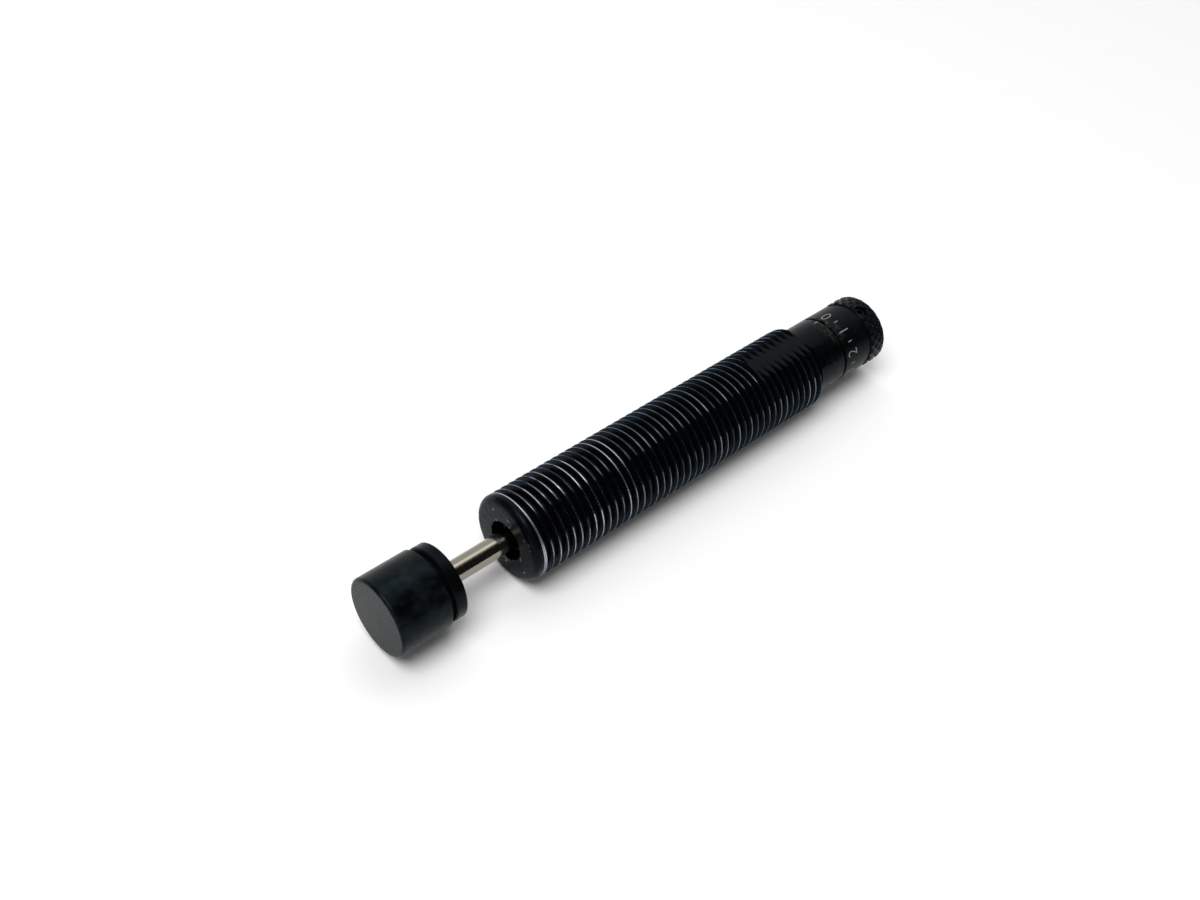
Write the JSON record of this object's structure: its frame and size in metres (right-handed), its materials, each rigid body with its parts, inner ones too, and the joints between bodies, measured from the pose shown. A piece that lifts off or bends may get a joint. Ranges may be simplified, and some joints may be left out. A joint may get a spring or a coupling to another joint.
{
  "type": "industrial shock absorber",
  "caption": "Adjustable shock absorber: threaded body with wrench flats, sprung piston rod with a soft striking cap in front, and a numbered adjuster knob at the rear.",
  "frame": {"origin": "on the long axis at the front end of the body's full thread, just behind the rounded nose", "axes": "+X along the axis from the striking cap to the adjuster knob, +Z out of the upper wrench flat, -X the way the rod stands out and a mounting nut comes off"},
  "size_m": [0.1038, 0.0142, 0.0142],
  "materials": {
    "black_oxide_steel": "black oxide over a rolled thread, oiled, satin",
    "ground_rod_steel": "hardened and ground bright",
    "black_button_steel": "black oxide, satin",
    "moulded_cap": "moulded urethane, fine satin",
    "seal_rubber": "moulded nitrile rubber",
    "inner_steel": "turned",
    "spring_steel": "drawn wire and strip",
    "bearing_bronze": "turned bronze",
    "cell_foam": "closed-cell foam",
    "black_anodised_knob": "black anodised, knurled grip",
    "black_screw_steel": "black oxide",
    "printed_marks": "light grey pad-printed ink"
  },
  "bodies": {
    "cylinder": {"threaded_body": "black_oxide_steel", "rod_wiper": "seal_rubber", "rod_seal": "seal_rubber", "seal_washer": "inner_steel", "rod_bearing": "bearing_bronze", "bearing_o_ring": "seal_rubber", "accumulator_foam": "cell_foam", "shock_tube": "inner_steel", "end_plug": "inner_steel", "end_plug_o_ring": "seal_rubber", "snap_ring": "spring_steel", "stop_pin": "inner_steel"},
    "spring": {"return_spring": "spring_steel"},
    "rod": {"piston_rod": "ground_rod_steel", "strike_button": "black_button_steel", "bumper_cap": "moulded_cap", "piston_head": "inner_steel", "piston_nut": "inner_steel"},
    "check_ring": {"check_ring": "bearing_bronze"},
    "knob": {"adjuster_knob": "black_anodised_knob"},
    "needle": {"adjusting_needle": "inner_steel", "needle_o_ring": "seal_rubber"},
    "lock_screw": {"lock_screw": "black_screw_steel"}
  },
  "joints": [
    {"name": "rod_spin", "type": "hinge", "parent": "cylinder", "child": "spring", "pos_m": [0, 0, 0], "axis": [1, 0, 0], "continuous": true},
    {"name": "rod_slide", "type": "slide", "parent": "spring", "child": "rod", "axis": [1, 0, 0], "range_m": [0, 0.0102], "stiffness_N_per_m": 290, "springref_m": -0.0103, "deforming": ["return_spring"]},
    {"name": "check_ring_float", "type": "slide", "parent": "rod", "child": "check_ring", "axis": [1, 0, 0], "range_m": [-0.00035, 0]},
    {"name": "knob_turn", "type": "hinge", "parent": "cylinder", "child": "knob", "pos_m": [0.0688, 0, 0], "axis": [-1, 0, 0], "range_deg": [0, 320]},
    {"name": "needle_travel", "type": "slide", "parent": "knob", "child": "needle", "axis": [-1, 0, 0], "range_m": [0, 0.00044444]},
    {"name": "lock_screw_travel", "type": "slide", "parent": "knob", "child": "lock_screw", "axis": [0, -0.1633, 0.9866], "range_m": [0, 0.0004]}
  ],
  "couplings": [
    {"joint": "knob_turn", "follows": "needle_travel", "rad_per_m": 12566}
  ]
}
